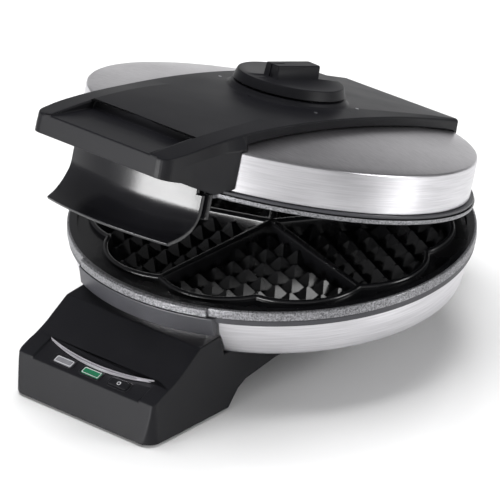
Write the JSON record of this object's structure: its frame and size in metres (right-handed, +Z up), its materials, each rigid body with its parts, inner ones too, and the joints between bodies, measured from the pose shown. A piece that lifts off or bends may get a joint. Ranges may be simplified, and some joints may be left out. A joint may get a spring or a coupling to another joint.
{
  "type": "waffle maker",
  "caption": "Round heart-waffle maker: low base with sloping control panel, brushed shells, cast plates and a hinged lid held ajar, with a broad bridge handle and a turning knob.",
  "frame": {"origin": "middle of the footprint box, on the surface it stands on", "axes": "+X to the right seen from the handle side, +Y towards the hinge, +Z up"},
  "size_m": [0.214, 0.2698, 0.1563],
  "materials": {
    "black_plastic": "fine grained, satin",
    "dark_plastic": "satin moulded",
    "grey_plastic": "satin moulded",
    "shell_steel": "brushed stainless",
    "zinc_steel": "zinc plated",
    "heater_steel": "heat-tinted sheath",
    "plate_cast": "cast, non-stick coated",
    "trim_silver": "silver lacquer",
    "foot_rubber": "matt",
    "lens_grey": "clear moulded",
    "lens_green": "tinted moulded",
    "board": "fibreglass board",
    "ceramic": "steatite"
  },
  "bodies": {
    "base": {"base_housing": "black_plastic", "board_screw_left": "zinc_steel", "board_screw_right": "zinc_steel", "button_switch": "dark_plastic", "buzzer": "dark_plastic", "channel_cover": "dark_plastic", "circuit_board": "board", "cord_gland": "dark_plastic", "cover_screw_1": "zinc_steel", "cover_screw_2": "zinc_steel", "cover_screw_3": "zinc_steel", "cover_screw_4": "zinc_steel", "foot_front_left": "foot_rubber", "foot_front_right": "foot_rubber", "foot_rear_left": "foot_rubber", "foot_rear_right": "foot_rubber", "front_base_cover": "dark_plastic", "heating_lamp_window": "lens_grey", "heating_led": "lens_grey", "hinge_pin_left": "zinc_steel", "hinge_pin_right": "zinc_steel", "lower_heater": "heater_steel", "lower_plate": "plate_cast", "lower_reflector": "zinc_steel", "lower_ring": "grey_plastic", "lower_shell": "shell_steel", "pan_screw_left": "zinc_steel", "pan_screw_right": "zinc_steel", "panel_trim": "trim_silver", "ready_lamp_window": "lens_green", "ready_led": "lens_green", "rear_base_cover": "dark_plastic", "supply_lead": "ceramic", "terminal_block": "ceramic"},
    "lid": {"upper_plate": "plate_cast", "upper_ring": "grey_plastic", "upper_shell": "shell_steel", "upper_heater": "heater_steel", "upper_reflector": "zinc_steel", "thermostat": "ceramic", "thermal_fuse": "trim_silver", "lid_bridge": "black_plastic", "bridge_screw_front": "zinc_steel", "bridge_screw_rear": "zinc_steel", "grip_shield": "dark_plastic", "heat_guard": "dark_plastic", "hinge_bracket": "zinc_steel"},
    "knob": {"temperature_knob": "black_plastic", "knob_spindle": "zinc_steel"},
    "button": {"sound_button": "dark_plastic"}
  },
  "joints": [
    {"name": "lid_hinge", "type": "hinge", "parent": "base", "child": "lid", "pos_m": [0, 0.11995, 0.075], "axis": [-1, 0, 0], "range_deg": [-16.7, 88]},
    {"name": "knob_turn", "type": "hinge", "parent": "lid", "child": "knob", "pos_m": [0, 0.02608, 0.13448], "axis": [0, 0.2874, 0.9578], "range_deg": [-135, 135]},
    {"name": "sound_button_press", "type": "slide", "parent": "base", "child": "button", "axis": [0, 0.342, -0.9397], "range_m": [0, 0.0012], "stiffness_N_per_m": 300}
  ]
}
